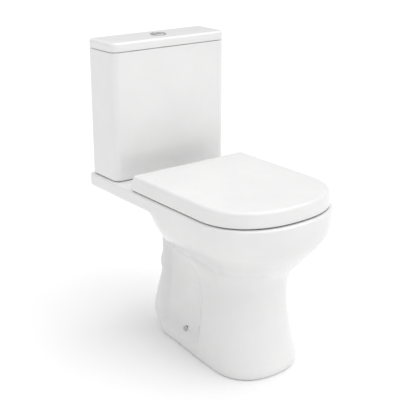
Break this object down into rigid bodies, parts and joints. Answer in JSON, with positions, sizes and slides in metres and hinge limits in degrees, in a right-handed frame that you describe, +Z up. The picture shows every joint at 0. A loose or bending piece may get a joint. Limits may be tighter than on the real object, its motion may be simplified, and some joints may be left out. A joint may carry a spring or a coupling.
{
  "type": "close coupled toilet",
  "caption": "Close coupled toilet: floor-standing ceramic pan with rear cistern on its shelf, push-button flush and wrap-over hinged seat.",
  "frame": {"origin": "on the floor, under the middle of the outer box (width and depth)", "axes": "+Z up; -Y towards the user, +Y towards the wall; +X towards the side that has the cold water inlet"},
  "size_m": [0.366, 0.632, 0.7825],
  "materials": {
    "ceramic_white": "high gloss white glaze",
    "seat_white": "gloss white moulded thermoset",
    "chrome": "polished",
    "rubber_black": "matt",
    "buffer_grey": "matt translucent grey",
    "zinc_steel": "bright zinc plated",
    "valve_plastic": "moulded, satin",
    "float_plastic": "moulded, satin",
    "nylon_white": "moulded, satin",
    "foam_grey": "closed cell foam",
    "damper_steel": "ground"
  },
  "bodies": {
    "frame": {"pan_bowl": "ceramic_white", "pan_shelf": "ceramic_white", "pan_column": "ceramic_white", "pan_outlet": "ceramic_white", "cistern_body": "ceramic_white", "cistern_pads": "foam_grey", "coupling_gasket": "rubber_black", "coupling_bolts": "zinc_steel", "coupling_rubber_washers": "rubber_black", "coupling_steel_washers": "zinc_steel", "coupling_wing_nuts": "nylon_white", "flush_valve_base": "valve_plastic", "flush_valve_gasket": "rubber_black", "flush_valve_backnut": "nylon_white", "flush_valve_tower": "valve_plastic", "tower_cap": "float_plastic", "lever_axles": "damper_steel", "fill_valve_shank": "valve_plastic", "fill_valve_gasket": "rubber_black", "fill_valve_backnut": "nylon_white", "fill_valve_head": "valve_plastic", "float_arm_pin": "damper_steel", "refill_tube": "buffer_grey", "hinge_bases": "chrome", "hinge_washers": "rubber_black", "hinge_studs": "zinc_steel", "hinge_nuts": "nylon_white", "seat_damper_pin": "damper_steel", "lid_damper_pin": "damper_steel", "floor_screws": "zinc_steel", "screw_sleeves": "nylon_white", "screw_caps": "chrome", "floor_brackets": "nylon_white"},
    "cistern_lid": {"cistern_lid": "ceramic_white", "button_bezel": "chrome", "bezel_nut": "nylon_white", "full_button_spring": "damper_steel", "half_button_spring": "damper_steel"},
    "full_button": {"full_flush_button": "chrome", "full_push_rod": "nylon_white"},
    "half_button": {"half_flush_button": "chrome", "half_push_rod": "nylon_white"},
    "full_lever": {"full_flush_lever": "float_plastic"},
    "half_lever": {"half_flush_lever": "float_plastic"},
    "canister": {"valve_canister": "nylon_white", "valve_seal": "rubber_black", "canister_yoke": "valve_plastic"},
    "float": {"float_cup": "float_plastic", "float_link": "nylon_white"},
    "float_arm": {"float_arm": "valve_plastic"},
    "seat_ring": {"seat_ring": "seat_white", "ring_buffers": "buffer_grey"},
    "seat_lid": {"seat_lid": "seat_white", "lid_buffers": "buffer_grey"}
  },
  "joints": [
    {"name": "seat_ring_hinge", "type": "hinge", "parent": "frame", "child": "seat_ring", "pos_m": [0, 0.128, 0.437], "axis": [-1, 0, 0], "range_deg": [0, 93]},
    {"name": "seat_lid_hinge", "type": "hinge", "parent": "seat_ring", "child": "seat_lid", "pos_m": [0, 0.128, 0.437], "axis": [1, 0, 0], "range_deg": [-93, 0]},
    {"name": "cistern_lid_lift", "type": "slide", "parent": "frame", "child": "cistern_lid", "axis": [0, 0, 1], "range_m": [0, 0.15]},
    {"name": "full_button_push", "type": "slide", "parent": "cistern_lid", "child": "full_button", "axis": [0, 0, -1], "range_m": [0, 0.006], "stiffness_N_per_m": 250, "springref_m": -0.002, "deforming": ["full_button_spring"]},
    {"name": "half_button_push", "type": "slide", "parent": "cistern_lid", "child": "half_button", "axis": [0, 0, -1], "range_m": [0, 0.006], "stiffness_N_per_m": 250, "springref_m": -0.002, "deforming": ["half_button_spring"]},
    {"name": "full_lever_tilt", "type": "hinge", "parent": "frame", "child": "full_lever", "pos_m": [0.03, 0.238, 0.7], "axis": [0, -1, 0], "range_deg": [0, 17.6]},
    {"name": "half_lever_tilt", "type": "hinge", "parent": "frame", "child": "half_lever", "pos_m": [-0.03, 0.252, 0.7], "axis": [0, 1, 0], "range_deg": [0, 17.6]},
    {"name": "canister_lift", "type": "slide", "parent": "frame", "child": "canister", "axis": [0, 0, 1], "range_m": [0, 0.0085]},
    {"name": "float_travel", "type": "slide", "parent": "frame", "child": "float", "axis": [0, 0, -1], "range_m": [0, 0.012]},
    {"name": "float_arm_tilt", "type": "hinge", "parent": "frame", "child": "float_arm", "pos_m": [0.108, 0.245, 0.668], "axis": [0, -1, 0], "range_deg": [0, 23.3]}
  ],
  "couplings": [
    {"joint": "full_lever_tilt", "follows": "full_button_push", "rad_per_m": 50},
    {"joint": "half_lever_tilt", "follows": "half_button_push", "rad_per_m": 50},
    {"joint": "canister_lift", "follows": "full_button_push", "ratio": 1.35},
    {"joint": "float_arm_tilt", "follows": "float_travel", "rad_per_m": 33.333}
  ]
}
